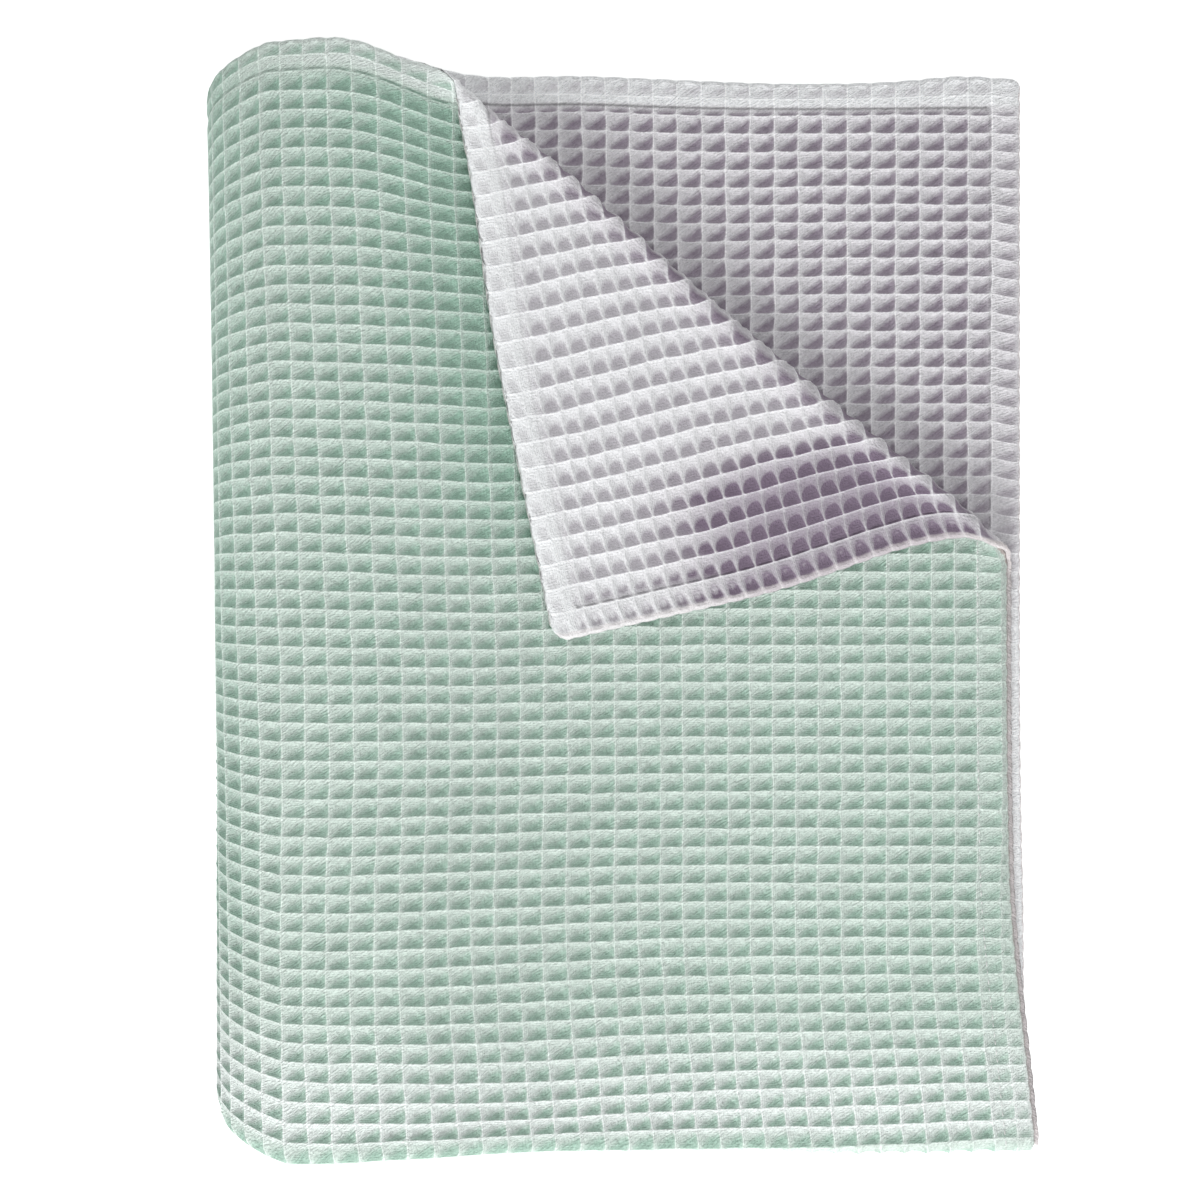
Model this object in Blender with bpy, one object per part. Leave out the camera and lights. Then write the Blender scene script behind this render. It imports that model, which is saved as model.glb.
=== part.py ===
"""Waffle weave cotton blanket, folded in quarters, with one corner turned back.

The blanket is two waffle cloths, mint outside and pale inside, sewn together
round the edge.  Each cloth is one closed sheet.  A flat sheet is cut with extra
lines where it will bend, given its thickness, and then folded three times:
the corner is turned back, the far half goes under at the bottom fold, and the
stack is rolled over at the left.  Metres, +Z up, +X right, +Y to the top hems.
"""

import math

import bmesh
import bpy
import numpy as np
from mathutils import Vector

MM = 0.001

# The blanket, laid out flat: across runs round the roll, along runs round the
# bottom fold, and both start at the corner that is turned back.
ACROSS = 0.760
ALONG = 1.000
CLOTH = 2.4 * MM
CLOTH_GAP = 0.3 * MM
LAYER = 2 * CLOTH + CLOTH_GAP
PITCH = LAYER + 0.6 * MM
TOP_PAIR_Z = 2 * PITCH + (LAYER + PITCH) / 2
BLUNT_CORNER = 3.0 * MM

# Turned corner: where its crease meets the two hems, how far it swings about
# the crease's lower end, how loosely it bends, and how high it then lies
CREASE_ON_TOP_HEM = 0.270
CREASE_ON_SIDE_HEM = 0.2185
CORNER_SWING = math.radians(1.5)
CORNER_RADIUS = 4.6 * MM
CORNER_SETTLE_RADIUS = 30.0 * MM
CORNER_LIFT = LAYER + 1.2 * MM
CORNER_STEPS = (7, 3)
SNAP = 0.4 * MM

# Bottom fold, a plain hairpin between two layers
BOTTOM_FOLD_AT = 0.5005
BOTTOM_Y = -0.2572
BOTTOM_STEPS = 6

# Roll at the left, for the plane between the two layers that it carries: a
# rise from the free right edge, a slope, and bends from there to the floor
RIGHT_X = 0.1925
LEFT_X = -0.176
SLOPE_TURN = math.radians(27.0)
SLOPE_LENGTH = 0.035
ROLL_BENDS = (
    # turn (degrees), radius (m), steps
    (27.0, 0.075, 3),
    (25.0, 0.085, 3),
    (20.0, 0.050, 2),
    (45.0, 0.028, 4),
    (65.0, 0.025, 6),
    (25.0, 0.060, 3),
)
BENDS_TO_LEFT_EDGE = 4
RISE_STEPS = 6
RIGHT_STEPS = 4
FLOOR_STEPS = 5

# The outer layer takes the longer way round the roll, so its free edge stays
# behind the inner one's, but not at the bottom, where both are one cloth
SLIP_ANGLE = 1.167
SLIP_STARTS = 0.025
SLIP_FULL = 0.130

# Lines along the cloth: (from, to, steps), each measured from its own hem
TOP_LAYER_LINES = ((0.0, 0.209, 10), (0.209, 0.36, 4))
LOWER_LAYER_LINES = ((0.0, 0.36, 8),)
LINES_TO_BOTTOM = 5

# Unevenness of the real folds
ROLL_END_DRAWN_IN = 0.070
ROLL_END_WIDTH = 0.036
ROLL_SHIFT = 0.006
ROLL_SHIFT_FROM = -0.020
ROLL_SHIFT_TO = -0.110
BOTTOM_LEAN = 0.0095
LEAN_LENGTH = 0.250
LEAN_RAMP = 0.060
ROLL_LEAN = 0.0047
ROLL_LEAN_FROM = -0.170
ROLL_LEAN_LENGTH = 0.410
ROLL_LEAN_RAMP = (-0.150, 0.110)
HEM_DIP = 0.0105
HEM_DIP_X = -0.060
HEM_DIP_WIDTH = 0.034
HEM_DIP_RAMP = (0.120, 0.250)

# Puts the middle of the folded blanket over the origin
CENTRE_X = 0.01116
CENTRE_Y = -0.00349

MINT = (0.40, 0.53, 0.46, 1.0)
PALE = (0.66, 0.65, 0.68, 1.0)
COTTON_ROUGHNESS = 0.9


def arc(turn, radius):
    """A stretch of a fold's profile: its length, and its turn in radians."""
    return abs(turn) * radius, turn


def walk(stretches, distance):
    """Follow straight runs and arcs, given as (length, turn), for a distance.

    The walk starts at the origin, heading along the first axis.  In a stretch
    the chord is the distance times sinc of half the turn so far.  It returns
    both coordinates and the heading.  The first and last stretch run on.
    """
    lengths, turns = np.array(stretches).T
    starts = np.concatenate(([0.0], np.cumsum(lengths)))
    headings = np.concatenate(([0.0], np.cumsum(turns)))
    chords = lengths * np.sinc(turns / 2 / math.pi)
    middles = headings[:-1] + turns / 2
    first = np.concatenate(([0.0], np.cumsum(chords * np.cos(middles))))
    second = np.concatenate(([0.0], np.cumsum(chords * np.sin(middles))))

    stretch = np.clip(np.searchsorted(starts, distance, side="right") - 1, 0, len(turns) - 1)
    along = distance - starts[stretch]
    turned = turns[stretch] * along / lengths[stretch]
    middle = headings[stretch] + turned / 2
    chord = along * np.sinc(turned / 2 / math.pi)
    return (first[stretch] + chord * np.cos(middle),
            second[stretch] + chord * np.sin(middle),
            headings[stretch] + turned)


def smooth_step(value, low, high):
    """Rise from 0 at low to 1 at high, level at both ends."""
    part = np.clip((value - low) / (high - low), 0.0, 1.0)
    return part * part * (3 - 2 * part)


def corner_profile():
    """Bend back past level, then settle at CORNER_LIFT over the layer below."""
    radii = CORNER_SETTLE_RADIUS + CORNER_RADIUS
    past_level = math.acos((CORNER_SETTLE_RADIUS - CORNER_RADIUS + CORNER_LIFT) / radii)
    return [(MM, 0.0),
            arc(math.pi + past_level, CORNER_RADIUS),
            arc(-past_level, CORNER_SETTLE_RADIUS),
            (MM, 0.0)]


def roll_profile():
    """Flat run, rise, slope, bends and floor run, closing at two pitches."""
    heading = SLOPE_TURN
    bends = [arc(-math.radians(turn), radius) for turn, radius, _ in ROLL_BENDS]
    climb = SLOPE_LENGTH * math.sin(SLOPE_TURN)
    reach = SLOPE_LENGTH * math.cos(SLOPE_TURN)
    for count, (length, turn) in enumerate(bends):
        radius = length / -turn
        climb += radius * (math.cos(heading + turn) - math.cos(heading))
        if count < BENDS_TO_LEFT_EDGE:
            reach += radius * (math.sin(heading) - math.sin(heading + turn))
        heading += turn
    rise_radius = (-2 * PITCH - climb) / (1 - math.cos(SLOPE_TURN))
    reach += rise_radius * math.sin(SLOPE_TURN) + PITCH / 2 + LAYER / 2
    right_run = RIGHT_X - LEFT_X - reach
    profile = [(right_run, 0.0), arc(SLOPE_TURN, rise_radius), (SLOPE_LENGTH, 0.0)] + bends
    floor_run = ACROSS - sum(length for length, _ in profile)
    return profile + [(floor_run, 0.0)]


CORNER = corner_profile()
BEND_START = BOTTOM_FOLD_AT - math.pi * PITCH / 4
BOTTOM = [(BEND_START, 0.0), arc(-math.pi, PITCH / 2), (ALONG, 0.0)]
ROLL = roll_profile()

CREASE_LENGTH = math.hypot(CREASE_ON_TOP_HEM, CREASE_ON_SIDE_HEM)
CREASE_NORMAL = (CREASE_ON_SIDE_HEM / CREASE_LENGTH, CREASE_ON_TOP_HEM / CREASE_LENGTH)
CREASE_DEPTH = CREASE_ON_TOP_HEM * CREASE_ON_SIDE_HEM / CREASE_LENGTH
CORNER_BEND_AT = -(CORNER_RADIUS + LAYER / 2)


def turn_corner(across, along, offset):
    """Fold what lies past the crease back over the sheet.

    Past is the distance towards the corner.  The point moves along the crease's
    normal to where the profile takes it, and off the sheet by the profile's
    height plus its own offset along the profile's normal.  What is turned then
    swings a little about the crease's end on the side hem.
    """
    past = CREASE_DEPTH - (across * CREASE_NORMAL[0] + along * CREASE_NORMAL[1])
    reach, height, heading = walk(CORNER, past - CORNER_BEND_AT + CORNER[0][0])
    moved = reach + CORNER_BEND_AT - CORNER[0][0] - offset * np.sin(heading)
    bent = past > CORNER_BEND_AT
    shift = np.where(bent, past - moved, 0.0)
    lift = np.where(bent, height + offset * np.cos(heading), offset)
    across, along = across + shift * CREASE_NORMAL[0], along + shift * CREASE_NORMAL[1]
    swing = CORNER_SWING * np.clip(heading / math.pi, 0.0, 1.0)
    below = along - CREASE_ON_SIDE_HEM
    along = CREASE_ON_SIDE_HEM + below * np.cos(swing) - across * np.sin(swing)
    return across * np.cos(swing) + below * np.sin(swing), along, lift


def fold_bottom(along, offset):
    """Take the far half under the near one: distance down, height, own height."""
    down, level, heading = walk(BOTTOM, along)
    level = level + PITCH / 2
    return down - offset * np.sin(heading), level + offset * np.cos(heading), level


def roll_left(across, height, level, slip):
    """Carry both layers round the roll, each keeping its own length.

    A layer at a level off the profile walks the profile ahead of or behind the
    other by its level times the turn so far, less the turn where both agree.
    """
    distance = across
    for _ in range(8):
        heading = walk(ROLL, distance)[2]
        distance = across + slip * level * (heading + SLIP_ANGLE)
    left, climb, heading = walk(ROLL, distance)
    x = RIGHT_X - left + height * np.sin(heading)
    z = TOP_PAIR_Z + climb + height * np.cos(heading)
    return x, z


def settle(x, y):
    """The real folds' unevenness, level with the floor.

    The ends of the roll are drawn in at its left edge, the roll sits a little
    further up than the flat part, the hems dip where the corner is turned, the
    cloth leans right to the bottom, and the roll leans left to the top.
    """
    edge = np.clip((LEFT_X + ROLL_END_WIDTH - x) / ROLL_END_WIDTH, 0.0, 1.0)
    y = y * (1 - ROLL_END_DRAWN_IN * edge**2)
    y = y + ROLL_SHIFT * smooth_step(-x, -ROLL_SHIFT_FROM, -ROLL_SHIFT_TO)
    dip = np.exp(-((x - HEM_DIP_X) / HEM_DIP_WIDTH)**2) * smooth_step(y, *HEM_DIP_RAMP)
    y = y - HEM_DIP * dip
    below = np.clip(-y / LEAN_LENGTH, 0.0, None)
    above = np.clip((y - ROLL_LEAN_FROM) / ROLL_LEAN_LENGTH, 0.0, None)
    x = x + BOTTOM_LEAN * below**3 * smooth_step(x, LEFT_X, LEFT_X + LEAN_RAMP)
    x = x - ROLL_LEAN * above**2 * smooth_step(-x, *ROLL_LEAN_RAMP)
    return x, y


def fold(points):
    """World place of flat points: across, along, and offset to the mint side."""
    across, along, offset = points.T
    slip = smooth_step(np.abs(along - BOTTOM_FOLD_AT), SLIP_STARTS, SLIP_FULL)
    across, along, offset = turn_corner(across, along, offset)
    down, height, level = fold_bottom(along, offset)
    x, z = roll_left(across, height, level, slip)
    y = BOTTOM_Y + BEND_START + PITCH / 2 + LAYER / 2 - down
    x, y = settle(x, y)
    return np.column_stack((x - CENTRE_X, y - CENTRE_Y, z))


def spaced(low, high, steps):
    """Even steps from low up to, but without, high."""
    return list(np.linspace(low, high, steps + 1)[:-1])


def lines_across():
    """Lines across the cloth at every bend of the roll."""
    steps = [RIGHT_STEPS, RISE_STEPS, 1] + [count for *_, count in ROLL_BENDS] + [FLOOR_STEPS]
    lines, start = [], 0.0
    for (length, _), count in zip(ROLL, steps):
        lines += spaced(start, start + length, count)
        start += length
    return lines + [ACROSS]


def lines_along():
    """Lines along the cloth, closest at the turned corner and the bottom fold."""
    bend_end = BEND_START + BOTTOM[1][0]
    near = [line for low, high, steps in TOP_LAYER_LINES for line in spaced(low, high, steps)]
    near += spaced(TOP_LAYER_LINES[-1][1], BEND_START, LINES_TO_BOTTOM)
    bend = spaced(BEND_START, bend_end, BOTTOM_STEPS)
    far = [ALONG - line for low, high, steps in LOWER_LAYER_LINES for line in spaced(low, high, steps)]
    last = ALONG - LOWER_LAYER_LINES[-1][1]
    return near + bend + spaced(bend_end, last, LINES_TO_BOTTOM) + [last] + far[:0:-1] + [ALONG]


def corner_creases():
    """Distances past the crease of each line of the turned corner's bend."""
    bend, settling = CORNER[1][0], CORNER[2][0]
    lines = spaced(0.0, bend, CORNER_STEPS[0]) + spaced(bend, bend + settling, CORNER_STEPS[1])
    return [CORNER_BEND_AT + line for line in lines + [bend + settling]]


def cut_flat_sheet():
    """A flat sheet of triangles, with a line wherever it will bend."""
    sheet = bmesh.new()
    across, along = lines_across(), lines_along()
    rows = [[sheet.verts.new((x, y, 0.0)) for x in across] for y in along]
    for near, far in zip(rows, rows[1:]):
        for first in range(len(across) - 1):
            sheet.faces.new((near[first], near[first + 1], far[first + 1], far[first]))
    for row, y_way in ((rows[0], 1), (rows[-1], -1)):
        row[0].co += Vector((BLUNT_CORNER, y_way * BLUNT_CORNER, 0.0))
        row[-1].co += Vector((-BLUNT_CORNER, y_way * BLUNT_CORNER, 0.0))
    for past in corner_creases():
        foot = CREASE_DEPTH - past
        bmesh.ops.bisect_plane(
            sheet, geom=sheet.verts[:] + sheet.edges[:] + sheet.faces[:], dist=SNAP,
            plane_co=(foot * CREASE_NORMAL[0], foot * CREASE_NORMAL[1], 0.0),
            plane_no=(CREASE_NORMAL[0], CREASE_NORMAL[1], 0.0))
    bmesh.ops.triangulate(sheet, faces=sheet.faces)
    return sheet


def make_cloth(name, low, high, colour):
    """One cloth of the blanket, from offset low to high, folded, as an object."""
    sheet = cut_flat_sheet()
    bmesh.ops.translate(sheet, verts=sheet.verts, vec=(0.0, 0.0, low))
    top = bmesh.ops.extrude_face_region(sheet, geom=sheet.faces[:], use_keep_orig=True)
    raised = [item for item in top["geom"] if isinstance(item, bmesh.types.BMVert)]
    bmesh.ops.translate(sheet, verts=raised, vec=(0.0, 0.0, high - low))
    bmesh.ops.recalc_face_normals(sheet, faces=sheet.faces)
    mesh = bpy.data.meshes.new(name)
    sheet.to_mesh(mesh)
    sheet.free()

    flat = np.empty(len(mesh.vertices) * 3)
    mesh.vertices.foreach_get("co", flat)
    mesh.vertices.foreach_set("co", fold(flat.reshape(-1, 3)).ravel())
    mesh.update()
    mesh.shade_smooth()

    material = bpy.data.materials.new(name)
    material.use_nodes = True
    surface = material.node_tree.nodes["Principled BSDF"]
    surface.inputs["Base Color"].default_value = colour
    surface.inputs["Roughness"].default_value = COTTON_ROUGHNESS
    surface.inputs["Metallic"].default_value = 0.0
    mesh.materials.append(material)
    cloth = bpy.data.objects.new(name, mesh)
    bpy.context.scene.collection.objects.link(cloth)
    return cloth


for leftover in list(bpy.data.objects):
    bpy.data.objects.remove(leftover)
make_cloth("mint_cloth", CLOTH_GAP / 2, LAYER / 2, MINT)
make_cloth("pale_cloth", -LAYER / 2, -CLOTH_GAP / 2, PALE)
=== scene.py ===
"""Waffle weave cotton blanket, folded in quarters, with one corner turned back.

The two waffle cloths are cut flat as lattices of cells, given their sunken
pockets, hems and rounded edges, and then folded round the same profiles as the
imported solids.  Metres, +Z up, +X right, +Y to the top hems.
"""

import math

import bpy
import numpy as np
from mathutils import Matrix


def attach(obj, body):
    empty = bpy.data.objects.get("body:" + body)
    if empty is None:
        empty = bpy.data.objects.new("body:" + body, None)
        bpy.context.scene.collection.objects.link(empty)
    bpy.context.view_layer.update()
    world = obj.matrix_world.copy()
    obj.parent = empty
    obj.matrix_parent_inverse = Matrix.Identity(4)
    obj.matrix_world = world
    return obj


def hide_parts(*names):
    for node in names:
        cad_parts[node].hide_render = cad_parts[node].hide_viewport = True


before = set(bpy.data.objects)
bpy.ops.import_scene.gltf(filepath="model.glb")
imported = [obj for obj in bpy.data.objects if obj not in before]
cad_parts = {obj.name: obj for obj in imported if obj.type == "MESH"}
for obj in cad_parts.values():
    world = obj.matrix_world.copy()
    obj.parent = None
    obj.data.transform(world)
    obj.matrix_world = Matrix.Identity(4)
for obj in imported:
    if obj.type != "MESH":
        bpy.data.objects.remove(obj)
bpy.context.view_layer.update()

# ---------------------------------------------------------------------------
# Mint cloth.  The outer of the blanket's two cloths: cotton in a waffle weave,
# whose floats draw it into ridges round sunken pockets.  It is sewn to the pale
# cloth round the edge, turned, topstitched, and folded with it.
# ---------------------------------------------------------------------------

MM = 0.001
ACROSS = 0.760
ALONG = 1.000
CLOTH = 2.4 * MM
CLOTH_GAP = 0.3 * MM
LAYER = 2 * CLOTH + CLOTH_GAP
PITCH = LAYER + 0.6 * MM
TOP_PAIR_Z = 2 * PITCH + (LAYER + PITCH) / 2


def smooth_step(value, low, high):
    """Rise from 0 at low to 1 at high, level at both ends."""
    part = np.clip((value - low) / (high - low), 0.0, 1.0)
    return part * part * (3 - 2 * part)


def arc(turn, radius):
    """A stretch of a fold's profile: its length, and its turn in radians."""
    return abs(turn) * radius, turn


def walk(stretches, distance):
    """Follow straight runs and arcs, given as (length, turn), for a distance.

    In a stretch the chord is the distance times sinc of half the turn so far.
    It returns both coordinates and the heading.  The first and last run on.
    """
    lengths, turns = np.array(stretches).T
    starts = np.concatenate(([0.0], np.cumsum(lengths)))
    headings = np.concatenate(([0.0], np.cumsum(turns)))
    chords = lengths * np.sinc(turns / 2 / math.pi)
    middles = headings[:-1] + turns / 2
    first = np.concatenate(([0.0], np.cumsum(chords * np.cos(middles))))
    second = np.concatenate(([0.0], np.cumsum(chords * np.sin(middles))))
    stretch = np.clip(np.searchsorted(starts, distance, side="right") - 1, 0, len(turns) - 1)
    along = distance - starts[stretch]
    turned = turns[stretch] * along / lengths[stretch]
    middle = headings[stretch] + turned / 2
    chord = along * np.sinc(turned / 2 / math.pi)
    return (first[stretch] + chord * np.cos(middle),
            second[stretch] + chord * np.sin(middle),
            headings[stretch] + turned)


# Turned corner: a crease between the two hems, bent past level and settling
CREASE_ON_TOP_HEM = 0.270
CREASE_ON_SIDE_HEM = 0.2185
CREASE_LENGTH = math.hypot(CREASE_ON_TOP_HEM, CREASE_ON_SIDE_HEM)
CREASE_NORMAL = (CREASE_ON_SIDE_HEM / CREASE_LENGTH, CREASE_ON_TOP_HEM / CREASE_LENGTH)
CREASE_DEPTH = CREASE_ON_TOP_HEM * CREASE_ON_SIDE_HEM / CREASE_LENGTH
CORNER_SWING = math.radians(1.5)
CORNER_SLIDE = 1.6 * MM
CORNER_SLIDE_RAMP = (0.025, 0.095)
CORNER_RADIUS = 4.6 * MM
CORNER_SETTLE_RADIUS = 30.0 * MM
CORNER_LIFT = LAYER + 1.2 * MM
CORNER_BEND_AT = -(CORNER_RADIUS + LAYER / 2)
CORNER_PAST_LEVEL = math.acos((CORNER_SETTLE_RADIUS - CORNER_RADIUS + CORNER_LIFT)
                              / (CORNER_SETTLE_RADIUS + CORNER_RADIUS))
CORNER = [(MM, 0.0),
          arc(math.pi + CORNER_PAST_LEVEL, CORNER_RADIUS),
          arc(-CORNER_PAST_LEVEL, CORNER_SETTLE_RADIUS),
          (MM, 0.0)]


def past_crease(across, along):
    """Distance past the corner's crease, towards the corner."""
    return CREASE_DEPTH - (across * CREASE_NORMAL[0] + along * CREASE_NORMAL[1])


def turn_corner(across, along, offset):
    """Fold what lies past the crease back over the sheet.

    The point moves along the crease's normal to where the profile takes it,
    and off the sheet by the profile's height plus its own offset.  What is
    turned then swings a little about the crease's end on the side hem, less
    far from the crease, where it also slides towards the roll.
    """
    past = past_crease(across, along)
    reach, height, heading = walk(CORNER, past - CORNER_BEND_AT + CORNER[0][0])
    moved = reach + CORNER_BEND_AT - CORNER[0][0] - offset * np.sin(heading)
    bent = past > CORNER_BEND_AT
    shift = np.where(bent, past - moved, 0.0)
    lift = np.where(bent, height + offset * np.cos(heading), offset)
    across, along = across + shift * CREASE_NORMAL[0], along + shift * CREASE_NORMAL[1]
    slide = smooth_step(past, *CORNER_SLIDE_RAMP)
    swing = CORNER_SWING * np.clip(heading / math.pi, 0.0, 1.0) * (1 - slide)
    across = across + CORNER_SLIDE * slide
    below = along - CREASE_ON_SIDE_HEM
    along = CREASE_ON_SIDE_HEM + below * np.cos(swing) - across * np.sin(swing)
    return across * np.cos(swing) + below * np.sin(swing), along, lift


# Bottom fold: a hairpin between the upper and the lower layer
BOTTOM_FOLD_AT = 0.5005
BOTTOM_Y = -0.2572
BEND_START = BOTTOM_FOLD_AT - math.pi * PITCH / 4
BOTTOM = [(BEND_START, 0.0), arc(-math.pi, PITCH / 2), (ALONG, 0.0)]


def fold_bottom(along, offset):
    """Take the far half under the near one: distance down, height, own height."""
    down, level, heading = walk(BOTTOM, along)
    level = level + PITCH / 2
    return down - offset * np.sin(heading), level + offset * np.cos(heading), level


# Roll at the left, for the plane between the two layers that it carries
RIGHT_X = 0.1925
LEFT_X = -0.1767
SLOPE_TURN = math.radians(27.0)
SLOPE_LENGTH = 0.035
ROLL_BENDS = (
    # turn (degrees), radius (m)
    (27.0, 0.075),
    (25.0, 0.085),
    (20.0, 0.050),
    (45.0, 0.028),
    (65.0, 0.025),
    (25.0, 0.060),
)
BENDS_TO_LEFT_EDGE = 4
SLIP_ANGLE = 1.167
SLIP_STARTS = 0.025
SLIP_FULL = 0.130
SLIP_ROUNDS = 8


def roll_profile():
    """Flat run, rise, slope, bends and floor run, closing at two pitches."""
    heading = SLOPE_TURN
    bends = [arc(-math.radians(turn), radius) for turn, radius in ROLL_BENDS]
    climb = SLOPE_LENGTH * math.sin(SLOPE_TURN)
    reach = SLOPE_LENGTH * math.cos(SLOPE_TURN)
    for count, (length, turn) in enumerate(bends):
        radius = length / -turn
        climb += radius * (math.cos(heading + turn) - math.cos(heading))
        if count < BENDS_TO_LEFT_EDGE:
            reach += radius * (math.sin(heading) - math.sin(heading + turn))
        heading += turn
    rise_radius = (-2 * PITCH - climb) / (1 - math.cos(SLOPE_TURN))
    reach += rise_radius * math.sin(SLOPE_TURN) + PITCH / 2 + LAYER / 2
    right_run = RIGHT_X - LEFT_X - reach
    profile = [(right_run, 0.0), arc(SLOPE_TURN, rise_radius), (SLOPE_LENGTH, 0.0)] + bends
    floor_run = ACROSS - sum(length for length, _ in profile)
    return profile + [(floor_run, 0.0)]


ROLL = roll_profile()


def roll_left(across, height, level, slip):
    """Carry both layers round the roll, each keeping its own length.

    A layer at a level off the profile walks it ahead of or behind the other by
    its level times the turn so far, less the turn where both agree.  Rounds of
    this settle the distance.
    """
    distance = across
    for _ in range(SLIP_ROUNDS):
        heading = walk(ROLL, distance)[2]
        distance = across + slip * level * (heading + SLIP_ANGLE)
    left, climb, heading = walk(ROLL, distance)
    return RIGHT_X - left + height * np.sin(heading), TOP_PAIR_Z + climb + height * np.cos(heading)


# Unevenness of the real folds, and the middle of the folded blanket
ROLL_END_DRAWN_IN = 0.058
ROLL_CORNER_DRAWN_IN = 0.020
ROLL_END_WIDTH = 0.033
ROLL_SHIFT = 0.006
ROLL_SHIFT_RAMP = (0.020, 0.110)
HEM_DIP = 0.0105
LOWER_HEM_DIP = 0.58
HEM_DIP_X = -0.060
HEM_DIP_WIDTH = 0.034
HEM_DIP_RAMP = (0.120, 0.250)
EDGE_WAVES = (
    # height, middle and width (m) of each bow of the edges, towards the top
    (0.0036, -0.040, 0.045),
    (-0.0034, -0.155, 0.035),
    (-0.0024, 0.125, 0.055),
)
BOTTOM_WAVE_RAMP = (0.222, 0.257)
TOP_WAVES = (
    (-0.0019, 0.098, 0.045),
    (0.0026, 0.170, 0.022),
)
ROLL_TOP_WAVE = (0.0020, -0.108, 0.020)
TOP_WAVE_RAMP = (0.225, 0.250)
BOTTOM_LEAN = 0.0095
BOTTOM_LEAN_LENGTH = 0.250
BOTTOM_LEAN_RAMP = 0.060
ROLL_LEAN = 0.0047
ROLL_LEAN_FROM = -0.170
ROLL_LEAN_LENGTH = 0.410
ROLL_LEAN_RAMP = (-0.150, 0.110)
CENTRE_X = 0.01116
CENTRE_Y = -0.00349
TURNED_RAMP = (-0.008, 0.014)
LOWER_AFTER_FOLD = 0.1
HEM_BOW = 0.0078
HEM_BOW_X = 0.1430
HEM_BOW_Y = 0.0260
HEM_BOW_WIDTH = 0.050
CREASE_END = (0.1746, 0.0288)
CREASE_END_DRAW = (-0.0002, -0.0022)
CREASE_END_WIDTH = 0.0095


def settle(x, y, lower, turned):
    """Unevenness of the folded cloth, seen from above, and its middle to zero.

    The roll's ends are drawn in and the roll lies further up.  The hems dip
    where the corner is turned, the lower one less, the edges wave, and the cloth
    leans right at the bottom and left at the roll's top.  The turned hem bows
    up, and the crease's end is a soft corner.
    """
    edge = np.clip((LEFT_X + ROLL_END_WIDTH - x) / ROLL_END_WIDTH, 0.0, 1.0)
    y = y * (1 - ROLL_END_DRAWN_IN * edge**1.25 - ROLL_CORNER_DRAWN_IN * edge**8)
    y = y + ROLL_SHIFT * smooth_step(-x, *ROLL_SHIFT_RAMP)
    dip = np.exp(-((x - HEM_DIP_X) / HEM_DIP_WIDTH)**2) * smooth_step(y, *HEM_DIP_RAMP)
    y = y - HEM_DIP * dip * (1 - (1 - LOWER_HEM_DIP) * lower)
    for waves, ramp, shown in ((EDGE_WAVES, smooth_step(-y, *BOTTOM_WAVE_RAMP), 1.0),
                               (TOP_WAVES, smooth_step(y, *TOP_WAVE_RAMP), lower),
                               ((ROLL_TOP_WAVE,), smooth_step(y, *TOP_WAVE_RAMP), 1 - lower)):
        for rise, middle, width in waves:
            y = y + rise * np.exp(-((x - middle) / width)**2) * ramp * shown
    below = np.clip(-y / BOTTOM_LEAN_LENGTH, 0.0, None)
    above = np.clip((y - ROLL_LEAN_FROM) / ROLL_LEAN_LENGTH, 0.0, None)
    x = x + BOTTOM_LEAN * below**3 * smooth_step(x, LEFT_X, LEFT_X + BOTTOM_LEAN_RAMP)
    x = x - ROLL_LEAN * above**2 * smooth_step(-x, *ROLL_LEAN_RAMP)
    x, y = x - CENTRE_X, y - CENTRE_Y
    bow = np.hypot(x - HEM_BOW_X, y - HEM_BOW_Y) / HEM_BOW_WIDTH
    end = np.hypot(x - CREASE_END[0], y - CREASE_END[1]) / CREASE_END_WIDTH
    drawn = (1 - lower) * np.exp(-end**2)
    x = x + CREASE_END_DRAW[0] * drawn
    return x, y + CREASE_END_DRAW[1] * drawn + HEM_BOW * turned * np.exp(-bow**2)


def fold(across, along, offset):
    """World place of flat points, with the offset towards the mint side."""
    slip = smooth_step(np.abs(along - BOTTOM_FOLD_AT), SLIP_STARTS, SLIP_FULL)
    lower = smooth_step(along, BOTTOM_FOLD_AT, BOTTOM_FOLD_AT + LOWER_AFTER_FOLD)
    turned = smooth_step(past_crease(across, along), *TURNED_RAMP)
    across, along, offset = turn_corner(across, along, offset)
    down, height, level = fold_bottom(along, offset)
    x, z = roll_left(across, height, level, slip)
    y = BOTTOM_Y + BEND_START + PITCH / 2 + LAYER / 2 - down
    return np.column_stack((*settle(x, y, lower, turned), z))


# Lattice of one cell: where its steps lie, closest at the ridges
STEPS = 5
MIDDLE_STEP = STEPS // 2
STEP_AT = np.array((0.0, 0.07, 0.31, 0.69, 0.93))
EDGE_STEP_AT = np.array((0.0, 0.05, 0.16, 0.34, 0.62))


def step_places(cells):
    """Cell coordinates of the lattice lines, closer again at both edges."""
    places = [cell + STEP_AT for cell in range(cells)]
    places[0] = EDGE_STEP_AT
    places[-1] = cells - np.append(1.0, EDGE_STEP_AT[:0:-1])
    return np.append(np.concatenate(places), float(cells))


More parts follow.
